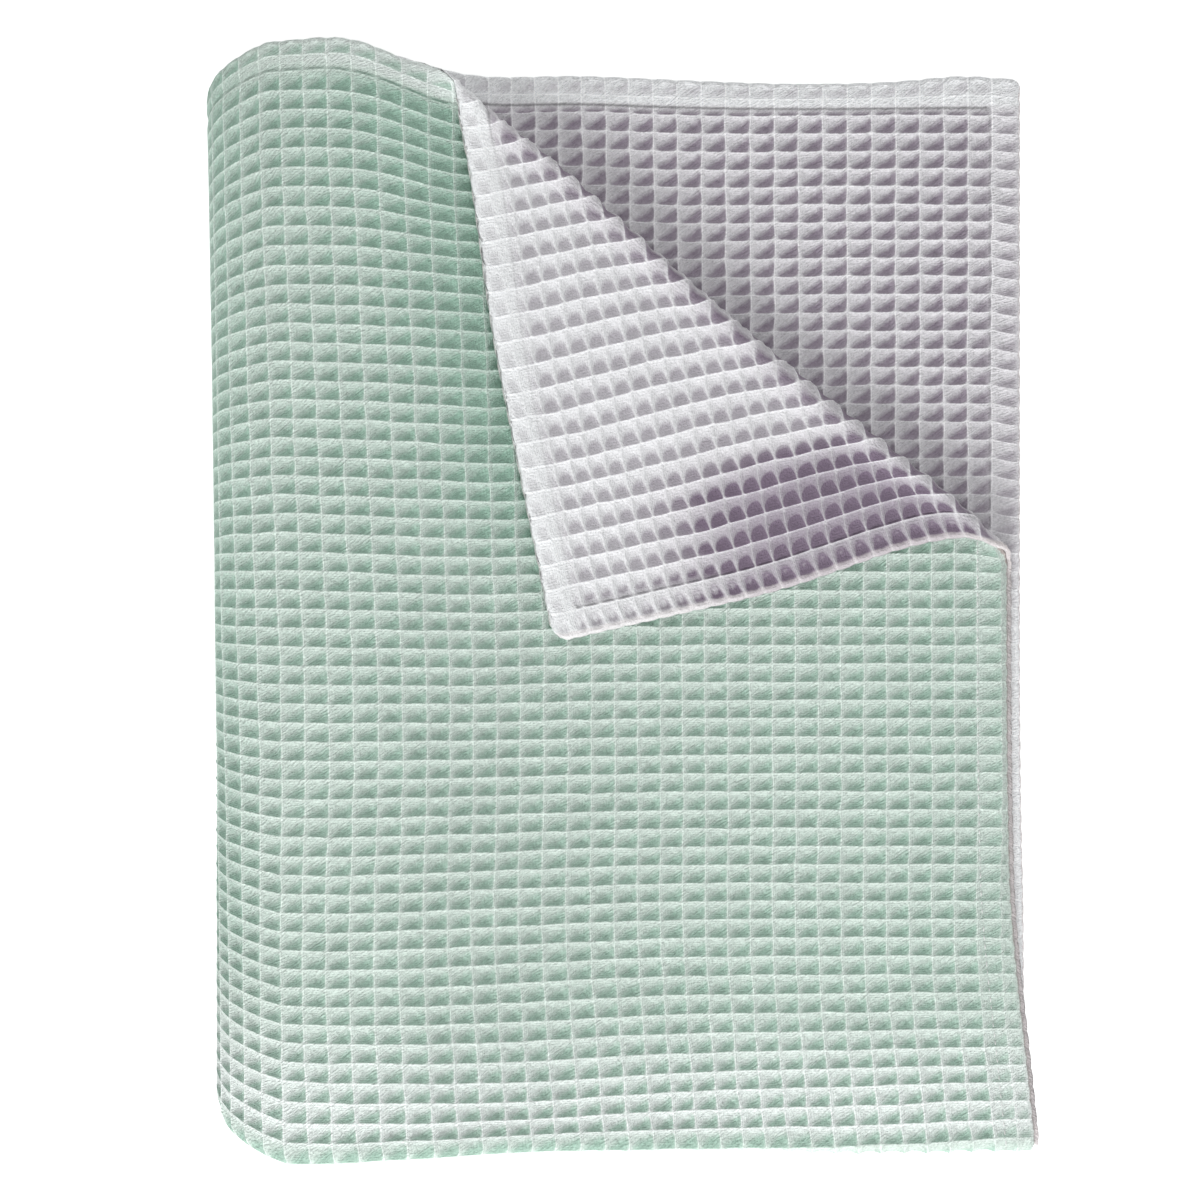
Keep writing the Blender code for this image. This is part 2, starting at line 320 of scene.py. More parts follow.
def weave_mesh(cells_across, cells_along, fine_front, fine_back):
    """Triangles of a closed sheet of cells, front and back, as lattice keys.

    A fine cell has a step lattice with a fan in its middle.  A coarse cell is
    one fan round its centre, through every perimeter point that a neighbour
    uses.  The two faces share the lattice points on the sheet's edge.
    """
    wide, high = cells_across * STEPS + 1, cells_along * STEPS + 1
    column, row = np.meshgrid(np.arange(cells_across), np.arange(cells_along), indexing="ij")
    first_column, first_row = column.ravel() * STEPS, row.ravel() * STEPS
    step = np.arange(STEPS)
    rim_column = np.concatenate((step, np.full(STEPS, STEPS), STEPS - step, np.zeros(STEPS, int)))
    rim_row = np.roll(rim_column, STEPS)
    square = ((0, 0), (1, 0), (1, 1), (0, 1))

    def key(columns, rows, face):
        at_edge = (columns == 0) | (columns == wide - 1) | (rows == 0) | (rows == high - 1)
        return (columns * high + rows) + np.where(at_edge, 0, face * wide * high)

    # Step lattices: two triangles to a square, split towards the cell's middle
    step_column, step_row = np.meshgrid(step, step, indexing="ij")
    around = (step_column != MIDDLE_STEP) | (step_row != MIDDLE_STEP)
    step_column, step_row = step_column[around], step_row[around]
    faces = []
    for face, fine in ((0, fine_front.ravel()), (1, fine_back.ravel())):
        column = first_column[fine][:, None] + step_column
        row = first_row[fine][:, None] + step_row
        corners = np.stack([key(column + i, row + j, face) for i, j in square], axis=-1)
        to_middle = (step_column < MIDDLE_STEP) == (step_row < MIDDLE_STEP)
        to_middle = np.broadcast_to(to_middle, column.shape)
        faces.append([corners[to_middle][:, (0, 1, 2)], corners[to_middle][:, (0, 2, 3)],
                      corners[~to_middle][:, (0, 1, 3)], corners[~to_middle][:, (1, 2, 3)]])
    used = np.zeros(2 * wide * high, bool)
    for triangles in faces[0] + faces[1]:
        used[triangles.ravel()] = True
    for face in (0, 1):
        for i, j in square:
            used[key(first_column + i * STEPS, first_row + j * STEPS, face)] = True

    # Fans: in a fine cell's middle square, and over the whole of a coarse cell
    centres = 2 * wide * high
    for face, fine in ((0, fine_front.ravel()), (1, fine_back.ravel())):
        centre = centres + face * len(first_column) + np.arange(len(first_column))
        inner = np.stack([key(first_column + MIDDLE_STEP + i, first_row + MIDDLE_STEP + j, face)
                          for i, j in square], axis=1)
        faces[face].append(np.stack((np.repeat(centre[fine], 4), inner[fine].ravel(),
                                     np.roll(inner[fine], -1, axis=1).ravel()), axis=1))
        rim = key(first_column[:, None] + rim_column, first_row[:, None] + rim_row, face)
        rim, centre = rim[~fine], centre[~fine]
        on = used[rim]
        count = rim.shape[1]
        places = np.where(np.tile(on, 2), np.arange(2 * count), 2 * count)
        following = np.minimum.accumulate(places[:, ::-1], axis=1)[:, ::-1][:, 1:count + 1] % count
        after = np.take_along_axis(rim, following, axis=1)
        faces[face].append(np.stack((np.broadcast_to(centre[:, None], rim.shape)[on],
                                     rim[on], after[on]), axis=1))
    return np.concatenate(faces[0]), np.concatenate(faces[1])[:, ::-1], centres


def lattice_places(keys, centres, cells, rows):
    """Cell coordinates of the lattice keys, and which of them lie on the back.

    The keys count the lattice points of the front, then those of the back, and
    from the given key on the cells' middles, in the same order.
    """
    high = rows * STEPS + 1
    lattice = (cells * STEPS + 1) * high
    is_centre = keys >= centres
    on_back = np.where(is_centre, (keys - centres) >= cells * rows, keys >= lattice)
    spot = np.where(is_centre, (keys - centres) % (cells * rows), keys % lattice)
    lattice_spot, cell_spot = np.where(is_centre, 0, spot), np.where(is_centre, spot, 0)
    column_at, row_at = step_places(cells), step_places(rows)
    middle_column, middle_row = [(at[MIDDLE_STEP:-1:STEPS] + at[MIDDLE_STEP + 1::STEPS]) / 2
                                 for at in (column_at, row_at)]
    column = np.where(is_centre, middle_column[cell_spot // rows], column_at[lattice_spot // high])
    row = np.where(is_centre, middle_row[cell_spot % rows], row_at[lattice_spot % high])
    return column, row, on_back


# The weave: its hems, its stray, and how its pockets are pulled out of shape
HEM = 13.2 * MM
HEM_LEAST_RAMP = (0.5 * HEM, 0.7 * HEM)
END_HEM_FADE = 3.0 * MM
SIDE_HEM_FADE = 5.0 * MM
END_RIM = 1.0 * MM
RIM_FADE = 2.0 * MM
CROSSING_STRAY_ACROSS = 0.22 * MM
CROSSING_STRAY_ALONG = 0.18 * MM
RIDGE_BOW = 0.45 * MM
RIDGE_STRAY = 0.06 * MM
POCKET_STRAY = 0.09
PYRAMID_SHARE = 0.6
STITCH_DENT_WIDTH = 1.8 * MM
STITCH_DENT = 0.7 * MM
TURNED_STITCH_DENT = 0.2 * MM
STITCHED_FLATTER = 0.6
STITCHED_HEM_LOSS = 0.7
CREASED_FLATTER = 0.5
CREASED_FROM = 3.0 * MM
CREASED_WIDTH = 9.0 * MM
THINNEST = 0.3 * MM
EDGE_ROUND = 2.6 * MM
EDGE_SCALLOP = 0.5 * MM
CORNER_ROUND = 8.0 * MM
LOWER_CORNER_LOSS = 0.55
LOWER_RIM_LOSS = 0.6
LOWER_BAND_LOSS = 2.4 * MM
LOWER_SIDE_RELIEF = 0.7
LOWER_RELIEF_RAMP = (0.72, 0.80)
LOWER_FROM = BOTTOM_FOLD_AT - 0.01
LOWER_FULL = BOTTOM_FOLD_AT + 0.01
TURNED_FULL = 0.020


def hem_relief(distance, relief):
    """Share of the relief at a distance from an edge, least by the stitches."""
    kept = relief * (1 - STITCHED_HEM_LOSS * smooth_step(distance, *HEM_LEAST_RAMP))
    return kept + (1 - kept) * smooth_step(distance, HEM, HEM + END_HEM_FADE)


def shape_edges(across, along, part_across, part_along, lower, turned, outsets, end_outset):
    """Round the sheet's corners, scallop its edges, and stand them out.

    Near a corner each edge draws in by the radius times one less the root of
    one less half the other's square.  Both edges lie back by the square of the
    place in the cell, and the side edges stand out by the outsets: on the
    turned corner, on the upper and on the lower layer.
    """
    from_side, from_end = np.minimum(across, ACROSS - across), np.minimum(along, ALONG - along)
    rounding = CORNER_ROUND * (1 - LOWER_CORNER_LOSS * lower)
    near_across = np.clip(1 - from_side / rounding, 0.0, 1.0)
    near_along = np.clip(1 - from_end / rounding, 0.0, 1.0)
    draw_across = rounding * near_across * (1 - np.sqrt(1 - near_along**2 / 2))
    draw_along = rounding * near_along * (1 - np.sqrt(1 - near_across**2 / 2))
    outset = outsets[0] * turned + outsets[1] * (1 - turned)
    outset = outset * (1 - lower) + outsets[2] * lower - EDGE_SCALLOP * part_along**2
    end_outset = end_outset * (1 - 2 * lower) - EDGE_SCALLOP * part_across**2
    draw_across = draw_across - outset * (1 - smooth_step(from_side, 0.0, HEM))
    draw_along = draw_along - end_outset * (1 - smooth_step(from_end, 0.0, HEM))
    return (across + np.sign(ACROSS / 2 - across) * draw_across,
            along + np.sign(ALONG / 2 - along) * draw_along)


def make_cloth(name, cells, rows, place, fine, side, outsets, end_outset, rim_width, side_relief,
               end_relief, pocket_depth, seam_shadows, painted_light_at, seed):
    """One closed waffle cloth, cut flat from its cells and folded, as an object.

    Each pocket is between a pyramid on a rounded square norm and the product of
    two bows.  Pockets are shallower in the hems and over the corner's crease,
    and drawn down at the stitch line, the side edges have a smooth rim, and all
    edges are rounded.  A given darkness of the stitch line's painted shadow is
    used at the ends and at the sides, flat and then turned, and a given function
    sets the painted light and shade at each flat place.  Each ridge crossing and
    pocket differs a little by chance.
    """
    front, back, centres = weave_mesh(cells, rows, *fine)
    triangles = np.concatenate((front, back))
    if side < 0:
        triangles = triangles[:, ::-1]
    keys, corners = np.unique(triangles, return_inverse=True)
    column, row, on_back = lattice_places(keys, centres, cells, rows)
    cell = np.minimum(column.astype(int), cells - 1)
    line = np.minimum(row.astype(int), rows - 1)
    share_across, share_along = column - cell, row - line
    chance = np.random.default_rng(seed)

    def crossing_chance(spread):
        """A value by chance at each ridge crossing, blended across the cell."""
        value = chance.normal(0.0, spread, (cells + 1, rows + 1))
        near = value[cell, line] * (1 - share_across) + value[cell + 1, line] * share_across
        far = value[cell, line + 1] * (1 - share_across) + value[cell + 1, line + 1] * share_across
        return near * (1 - share_along) + far * share_along

    # Flat places of the lattice, with its ridges bowed between the crossings
    across, along = place(column, row)
    inside = np.minimum.reduce((column, cells - column, row, rows - row)).clip(0.0, 1.0)
    part_across, part_along = 2 * share_across - 1, 2 * share_along - 1
    arch = (1 - part_across**2) * part_along**2
    across = across + inside * crossing_chance(CROSSING_STRAY_ACROSS)
    along = along + inside * (crossing_chance(CROSSING_STRAY_ALONG) - RIDGE_BOW * arch)
    from_side = np.minimum(across, ACROSS - across).clip(0.0, None)
    from_end = np.minimum(along, ALONG - along).clip(0.0, None)
    edge = np.minimum(from_side, from_end)
    lower = smooth_step(along, LOWER_FROM, LOWER_FULL)
    turned = smooth_step(past_crease(across, along), 0.0, TURNED_FULL)

    # Relief of the pockets, least in the hems, at the rim and where it is pulled
    norm = (np.abs(part_across)**4 + np.abs(part_along)**4)**0.25
    bows = (1 - np.abs(part_across)**3) * (1 - np.abs(part_along)**3)
    pocket = PYRAMID_SHARE * (1 - np.clip(norm, 0.0, 1.0)) + (1 - PYRAMID_SHARE) * bows
    lower_relief = LOWER_SIDE_RELIEF * smooth_step(along, *LOWER_RELIEF_RAMP)
    side_relief = side_relief * (1 - lower * (1 - lower_relief))
    by_side = 1 - (1 - side_relief) * (1 - smooth_step(from_side, HEM, HEM + SIDE_HEM_FADE))
    hem = by_side * hem_relief(from_end, end_relief)
    rim_width = rim_width * (1 - LOWER_RIM_LOSS * lower)
    rim = (smooth_step(from_side, rim_width, rim_width + RIM_FADE)
           * smooth_step(from_end, END_RIM, END_RIM + RIM_FADE))
    stitched = np.exp(-((edge - HEM) / STITCH_DENT_WIDTH)**2)
    creased = np.exp(-((past_crease(across, along) + CREASED_FROM) / CREASED_WIDTH)**2) * (1 - lower)
    pulled = (1 - STITCHED_FLATTER * stitched) * (1 - CREASED_FLATTER * creased)
    pocket_chance = 1 + chance.normal(0.0, POCKET_STRAY, (cells, rows))[cell, line]
    sunk = pocket_depth * pocket * hem * rim * pocket_chance * pulled
    sunk = sunk + (STITCH_DENT + (TURNED_STITCH_DENT - STITCH_DENT) * turned) * stitched
    rise = np.sqrt(np.clip(1 - (1 - np.clip(edge / EDGE_ROUND, 0.0, 1.0))**2, 0.0, 1.0))
    high_side = (CLOTH - sunk + inside * crossing_chance(RIDGE_STRAY)) * rise
    high_side = np.where(on_back, 0.0, np.maximum(high_side, THINNEST * rise))
    offset = side * (CLOTH_GAP / 2 + high_side)
    across, along = shape_edges(across, along, part_across, part_along, lower, turned, outsets,
                                end_outset)

    mesh = bpy.data.meshes.new(name)
    mesh.from_pydata(fold(across, along, offset), [], corners.reshape(-1, 3))
    mesh.shade_smooth()
    shown = np.where(on_back, 0.0, hem * rim)
    # How dark the painted shadow along the stitch line is, at the ends or the sides, flat and then turned
    seam_shadow = np.where(from_side > from_end, seam_shadows[0] + (seam_shadows[2] - seam_shadows[0]) * turned,
                    seam_shadows[1] + (seam_shadows[3] - seam_shadows[1]) * turned)
    banded = np.where((side > 0) & (turned > 0.5), edge, from_side + LOWER_BAND_LOSS * lower)
    # Attributes for the shader: pocket depth and relief set where painted shade lies in the pockets; then
    # how dark the stitch line's painted shadow is, and painted light above zero with painted shade below
    # zero
    for label, value in (("pocket", pocket * shown), ("relief", shown), ("turned", turned),
                         ("from_edge", np.minimum(edge, 2 * HEM) / MM),
                         ("from_side", np.minimum(banded, 2 * HEM) / MM), ("seam_shadow", seam_shadow),
                         ("painted_light_and_shade", painted_light_at(across, along, from_end))):
        mesh.attributes.new(label, "FLOAT", "POINT").data.foreach_set("value", value.astype(np.float32))
    cell_map = mesh.uv_layers.new(name="cells")
    loops = np.empty(len(mesh.loops), np.int32)
    mesh.loops.foreach_get("vertex_index", loops)
    cell_map.data.foreach_set("uv", np.column_stack((column, row))[loops].ravel())
    cloth = bpy.data.objects.new(name, mesh)
    bpy.context.scene.collection.objects.link(cloth)
    return cloth


def cell_centres(cells, rows, place):
    """Flat places of all cell centres, as two arrays."""
    column, row = np.meshgrid(np.arange(cells) + 0.5, np.arange(rows) + 0.5, indexing="ij")
    return place(column, row)


def near_edge(cells, rows):
    """Mask of the cells along the sheet's edge."""
    mask = np.zeros((cells, rows), bool)
    mask[0], mask[-1], mask[:, 0], mask[:, -1] = True, True, True, True
    return mask


BENT_BEFORE = 8.0 * MM
BENT_AFTER = 30.0 * MM
FOLD_HALF = 10.0 * MM


def bent(across, along):
    """Mask of the cells in the corner's crease or in the bottom fold."""
    past = past_crease(across, along) - CORNER_BEND_AT
    in_crease = (past > -BENT_BEFORE) & (past < BENT_AFTER)
    return in_crease | (np.abs(along - BOTTOM_FOLD_AT) < FOLD_HALF)


def hill(value, start, full, fading=9.0, gone=10.0):
    """Rise from 0 at start to 1 at full, then fall from 1 at fading to 0 at gone."""
    return smooth_step(value, start, full) * (1 - smooth_step(value, fading, gone))


def hills(table, from_right, nearer):
    """Sum of a table's rows: an amount times a hill across and a hill along."""
    return sum(amount * hill(from_right, *wide) * hill(nearer, *far) for amount, wide, far in table)


def line_places(at, count, first, pitch, length, hem_shift=0.0):
    """Place of a cell coordinate whose lines are a pitch apart from the first.

    The first and last cells reach on to the sheet's edges, and the first line
    may be shifted.
    """
    lines = np.arange(1, count)
    places = first + pitch * (lines - 1)
    places[0] += hem_shift
    return np.interp(at, np.concatenate(([0], lines, [count])), np.concatenate(([0], places, [length])))


def nearer_end(along):
    """Distance from the nearer end hem, the same for a place and the one under it."""
    return np.minimum(along, 2 * BOTTOM_FOLD_AT - along)


def over_crease(across, along):
    """Mirror image of flat places in the crease, where the turned corner lies."""
    past = past_crease(across, along)
    return across + 2 * past * CREASE_NORMAL[0], along + 2 * past * CREASE_NORMAL[1]


MINT_CELL_ACROSS = 10.6 * MM
MINT_CELL_ALONG = 8.51 * MM
MINT_FIRST_COLUMN = 3.0 * MM
MINT_FIRST_ROW = 5.7 * MM
MINT_HEM_ROW = 1.6 * MM
MINT_LAST_COLUMN = 13.5 * MM
MINT_CELLS = 2 + int((ACROSS - MINT_FIRST_COLUMN - MINT_LAST_COLUMN) / MINT_CELL_ACROSS)
MINT_ROWS = 2 + int((ALONG - MINT_FIRST_ROW) / MINT_CELL_ALONG)
MINT_COLUMN_ZERO = 2.4 * MM
MINT_SEEN_TO = 0.420
MINT_COVERED_FROM = 0.016

# How the mint lattice lies off its even spacing: amounts in millimetres, and
# hills in metres from the right edge and from the nearer end hem, of which
# EVERYWHERE is one that is full before the sheet starts
EVERYWHERE = (-2.0, -1.0)
FLAT_LEAN = (
    (4.8, EVERYWHERE, (0.33, 0.46)),
    (1.5, (0.05, 0.17), (0.42, 0.49)),
)
MIDDLE_LEAN = -1.5
MIDDLE_LEAN_AT = (0.235, 0.275)
MIDDLE_LEAN_WIDTH = (0.040, 0.045)
CREST_LEAN = 9.0
CREST_TOP_LEAN = 7.5
CREST_TOP_FROM = 0.28
CREST_TOP_LENGTH = 0.22
CREST_BOTTOM_LEAN = 10.6
CREST_BOTTOM_RAMP = (0.31, 0.50)
CREST_RAMP = (0.165, 0.295)
LEFT_LEAN = 14.4
LEFT_BOTTOM_LEAN = 4.4
LEFT_BOTTOM_RAMP = (0.18, 0.50)
LEFT_FROM = 0.298
LEFT_WIDTH = 0.085
FLAT_RISE = 4.0
FLAT_RISE_HILL = (*EVERYWHERE, 0.22, 0.29)
FLAT_RISE_RAMP = (0.02, 0.10)
ROWS_RISE = (
    (-2.5, (0.20, 0.25, 0.28, 0.34), (0.03, 0.13, 0.22, 0.33)),
    (-1.8, (0.27, 0.32), (0.03, 0.13, 0.38, 0.47)),
    (-1.5, (0.10, 0.25), (0.445, 0.488, 0.486, BOTTOM_FOLD_AT)),
    (1.0, (*EVERYWHERE, 0.15, 0.25), (0.45, 0.49)),
)
RISE_TURNS_OVER = (BOTTOM_FOLD_AT, 0.62)


def mint_place(column, row):
    """Flat place of a cell coordinate on the mint cloth, in metres.

    Evenly spaced columns and rows, then the columns' lean: they lie a few
    millimetres further left on the roll, most towards both ends of it, and come
    back at its left edge near the bottom.  The rows rise towards the top hem,
    most on the flat cloth, less or not at all on the roll and at the bottom.
    """
    along = line_places(row, MINT_ROWS, MINT_FIRST_ROW, MINT_CELL_ALONG, ALONG, MINT_HEM_ROW)
    across = line_places(column, MINT_CELLS, MINT_FIRST_COLUMN, MINT_CELL_ACROSS, ACROSS)
    nearer = nearer_end(along)
    from_right = MINT_CELL_ACROSS * column + MINT_COLUMN_ZERO
    middle = (((from_right - MIDDLE_LEAN_AT[0]) / MIDDLE_LEAN_WIDTH[0])**2
              + ((nearer - MIDDLE_LEAN_AT[1]) / MIDDLE_LEAN_WIDTH[1])**2)
    flat = hills(FLAT_LEAN, from_right, nearer) + MIDDLE_LEAN * np.exp(-middle)
    crest = (CREST_LEAN + CREST_TOP_LEAN * np.clip((CREST_TOP_FROM - nearer) / CREST_TOP_LENGTH, 0, 1)
             + CREST_BOTTOM_LEAN * smooth_step(nearer, *CREST_BOTTOM_RAMP))
    left = LEFT_LEAN + (LEFT_BOTTOM_LEAN - LEFT_LEAN) * smooth_step(nearer, *LEFT_BOTTOM_RAMP)
    lean = flat + (crest - flat) * smooth_step(from_right, *CREST_RAMP)
    lean = lean + (left - crest) * np.clip((from_right - LEFT_FROM) / LEFT_WIDTH, 0, 1)**2
    lean = lean * np.clip(column, 0, 1) * np.clip(MINT_CELLS - column, 0, 1)
    bottom = smooth_step(nearer, 0.40, 0.50) * smooth_step(from_right, 0.0, 0.16)
    rise = FLAT_RISE * hill(from_right, *FLAT_RISE_HILL) * smooth_step(nearer, *FLAT_RISE_RAMP)
    rise = rise * (1 - bottom) + hills(ROWS_RISE, from_right, nearer)
    return across + lean * MM, along - rise * MM * (1 - 2 * smooth_step(along, *RISE_TURNS_OVER))


def mint_fine():
    """Cells to model finely, front and back: those seen, the edge, the bends."""
    across, along = cell_centres(MINT_CELLS, MINT_ROWS, mint_place)
    over_across, over_along = over_crease(across, along)
    covered = (over_across > MINT_COVERED_FROM) & (over_along > MINT_COVERED_FROM)
    flat = past_crease(across, along) < CORNER_BEND_AT
    seen = (along < 0.51) & flat & ~covered & (across < MINT_SEEN_TO)
    creases = bent(across, along)
    return seen | creases | near_edge(MINT_CELLS, MINT_ROWS), creases


def mint_painted_light(across, along, from_end):
    """Painted light above zero, and painted shade below zero, on the mint cloth.

    Painted light lies in a band above the bottom fold, turning to painted shade
    at the fold's very edge, and the top hem is made lighter.  Painted shade lies
    beside the turned corner, on the roll, most at its left edge, and a little on
    the side hem.
    """
    nearer = nearer_end(along)
    over_across, over_along = over_crease(across, along)
    # Painted shadow beside the turned corner, painted light above the bottom fold, painted shade on the
    # roll and its left edge
    beside = np.exp(-(over_along / 0.034)**2) * smooth_step(over_across, 0.02, 0.10)
    beside = beside * smooth_step(-past_crease(across, along), 0.0, 0.01) * (along < 0.45)
    fold_edge = smooth_step(nearer, 0.425, 0.485) * (1 - 0.9 * smooth_step(nearer, 0.488, 0.4965))
    fold_edge = fold_edge - 0.2 * smooth_step(nearer, 0.494, 0.4985)
    roll = 0.15 * smooth_step(across, 0.24, 0.31) * (1 - smooth_step(nearer, 0.18, 0.36))
    roll = roll * (2 - smooth_step(nearer, 0.03, 0.10))
    left_edge = 0.9 * smooth_step(across, 0.345, 0.39) * (1 - 0.8 * smooth_step(nearer, 0.39, 0.44))
    top_hem = (1 - smooth_step(from_end, HEM - 2.0 * MM, HEM)) * (1 - smooth_step(across, 0.30, 0.38))
    top_hem = 0.9 * top_hem * (along < 0.1)
    side_hem = 0.05 * (1 - smooth_step(across, 0.03, 0.09)) * (1 - smooth_step(nearer, 0.40, 0.45))
    return fold_edge + top_hem - beside * (1 - top_hem) - roll - left_edge - side_hem


def waffle_cotton_group():
    """Shader group: colour and height of waffle cotton with a raised fuzz, with painted light and shade.

    Threads run round each pocket, parallel to its ridges: a sine of the square
    norm of the cell coordinates.  Combed streaks cross it, over fine fuzz.  A
    pocket is blended towards a painted shade colour, a little by its depth and
    most on the walls that face off the painted light's lean.  The lean has one
    value on the flat cloth and one on the turned corner, where the painted shade
    on a wall is a dome and the hem's pockets get rings of painted shade as
    dimples.  Crests get a painted highlight, the edge has a band, and the stitch
    line has a painted shadow.  Where the painted light attribute is above zero
    the cloth is blended towards a painted highlight white, and where it is below
    zero towards the painted shade colour.
    """
    group = bpy.data.node_groups.new("Brushed waffle cotton", "ShaderNodeTree")
    for kind, names in (("NodeSocketColor", ("Ridge", "Pocket shade", "Edge", "Painted highlight")),
                        ("NodeSocketFloat", ("Thread depth", "Fuzz depth", "Unevenness", "Edge width",
                                             "Painted light", "Light and comb lean across", "Light and comb lean along",
                                             "Turned light lean across", "Turned light lean along"))):
        for name in names:
            group.interface.new_socket(name=name, in_out="INPUT", socket_type=kind)
    group.interface.new_socket(name="Color", in_out="OUTPUT", socket_type="NodeSocketColor")
    group.interface.new_socket(name="Height", in_out="OUTPUT", socket_type="NodeSocketFloat")
    nodes, links = group.nodes, group.links
    given, result = nodes.new("NodeGroupInput"), nodes.new("NodeGroupOutput")

    def maths(operation, *values):
        """Output of a maths node whose inputs are the numbers and sockets."""
        node = nodes.new("ShaderNodeMath")
        node.operation = operation
        for value, target in zip(values, node.inputs):
            if isinstance(value, (int, float)):
                target.default_value = value
            else:
                links.new(value, target)
        return node.outputs[0]

    def clamped(value, scale, shift):
        """The value times the scale plus the shift, kept between 0 and 1."""
        made = maths("MULTIPLY_ADD", value, scale, shift)
        made.node.use_clamp = True
        return made

    def noise(vector, scale, detail, roughness=0.5):
        """Noise from 0 to 1, at a scale per metre or per cell."""
        node = nodes.new("ShaderNodeTexNoise")
        links.new(vector, node.inputs["Vector"])
        node.inputs["Scale"].default_value = scale
        node.inputs["Detail"].default_value = detail
        node.inputs["Roughness"].default_value = roughness
        return node.outputs["Fac"]

    def painted(name):
        """A value that the mesh carries at its vertices."""
        node = nodes.new("ShaderNodeAttribute")
        node.attribute_name = name
        return node.outputs["Fac"]

    def blend(factor, first, second):
        """The first colour, and the second where the factor is 1."""
        node = nodes.new("ShaderNodeMix")
        node.data_type = "RGBA"
        links.new(factor, node.inputs["Factor"])
        links.new(first, node.inputs["A"])
        links.new(second, node.inputs["B"])
        return node.outputs["Result"]

    def scaled(colour, factor):
        """The colour times the factor."""
        node = nodes.new("ShaderNodeVectorMath")
        node.operation = "SCALE"
        links.new(colour, node.inputs[0])
        links.new(factor, node.inputs["Scale"])
        return node.outputs[0]

    relief, depth, turned, painted_light_and_shade = painted("relief"), painted("pocket"), painted("turned"), painted("painted_light_and_shade")
    from_edge, from_side, seam_shadow_depth = painted("from_edge"), painted("from_side"), painted("seam_shadow")

    def by_turn(flat, bent_over):
        """One value on the flat cloth and another on the turned corner."""
        numbers = isinstance(flat, float) and isinstance(bent_over, float)
        change = bent_over - flat if numbers else maths("SUBTRACT", bent_over, flat)
        return maths("MULTIPLY_ADD", turned, change, flat)

    # Place in the cell, from -1 to 1 both ways, and a fray of its outlines
    cells = nodes.new("ShaderNodeUVMap")
    cells.uv_map = "cells"
    split = nodes.new("ShaderNodeSeparateXYZ")
    links.new(cells.outputs["UV"], split.inputs["Vector"])
    column, row = split.outputs["X"], split.outputs["Y"]
    place = nodes.new("ShaderNodeTexCoord").outputs["Object"]
    part_across = maths("MULTIPLY_ADD", maths("FRACT", column), 2.0, -1.0)
    part_along = maths("MULTIPLY_ADD", maths("FRACT", row), 2.0, -1.0)
    norm_across, norm_along = maths("ABSOLUTE", part_across), maths("ABSOLUTE", part_along)
    fray = maths("MULTIPLY_ADD", noise(place, 260.0, 2.0), 0.16, -0.08)
    stray = maths("MULTIPLY_ADD", noise(place, 500.0, 2.0), 1.6, -0.8)

    # Height: threads round the pocket, and streaks combed slantwise over fine fuzz
    norm = maths("ADD", maths("MAXIMUM", norm_across, norm_along), fray)
    threads = maths("SINE", maths("MULTIPLY", norm, 2 * math.pi * 4.5))
    slant = maths("SIGN", maths("MULTIPLY", given.outputs["Light and comb lean across"], given.outputs["Light and comb lean along"]))
    slant = maths("MULTIPLY", slant, row)
    combed_place = nodes.new("ShaderNodeCombineXYZ")
    links.new(maths("MULTIPLY", maths("SUBTRACT", column, slant), 2.4), combed_place.inputs["X"])
    links.new(maths("MULTIPLY", maths("ADD", column, slant), 9.0), combed_place.inputs["Y"])
    combed = maths("SUBTRACT", noise(combed_place.outputs["Vector"], 1.0, 2.0), 0.5)
    streaks = maths("MULTIPLY", combed, by_turn(1.5, 0.3))
    fuzz = maths("ADD", noise(place, 850.0, 3.0, 0.65), streaks)
    height = maths("ADD", maths("MULTIPLY", threads, given.outputs["Thread depth"]),
                   maths("MULTIPLY", fuzz, given.outputs["Fuzz depth"]))
    links.new(height, result.inputs["Height"])

    # Painted shade on the walls: how far a wall faces off the painted light's lean, bowed in and frayed
    light_lean_across = by_turn(given.outputs["Light and comb lean across"], given.outputs["Turned light lean across"])
    light_lean_along = by_turn(given.outputs["Light and comb lean along"], given.outputs["Turned light lean along"])
    facing_off_light = maths("MULTIPLY_ADD", light_lean_across, part_across, maths("MULTIPLY", light_lean_along, part_along))
    aside = maths("SUBTRACT", maths("MULTIPLY", light_lean_across, part_along),
                  maths("MULTIPLY", light_lean_along, part_across))
    bulge = maths("MULTIPLY_ADD", maths("MULTIPLY", aside, aside), 0.10, -0.15)
    dome = maths("MULTIPLY_ADD", maths("POWER", norm_along, 4.0), -1.3, 0.08)
    facing_off_light = maths("ADD", facing_off_light, by_turn(bulge, dome))
    facing_off_light = maths("ADD", facing_off_light, maths("MULTIPLY", fray, by_turn(3.0, 1.0)))
    facing_off_light = clamped(maths("MULTIPLY", facing_off_light, by_turn(1.0, 1.2)), 1.6, 0.37)

    # Inside of the pocket, where the painted shade lies: a rounded square, shifted a little along the
    # light's lean
    shifted = [maths("ABSOLUTE", maths("MULTIPLY_ADD", maths("SIGN", leaning), -0.10, part))
               for leaning, part in ((light_lean_across, part_across), (light_lean_along, part_along))]
    rounded = maths("ADD", maths("POWER", shifted[0], 4.0), maths("POWER", shifted[1], 4.0))
    rounded = maths("ADD", maths("POWER", rounded, 0.25), fray)
    inside = clamped(maths("MULTIPLY_ADD", turned, -0.10, rounded), -5.5, 5.45)

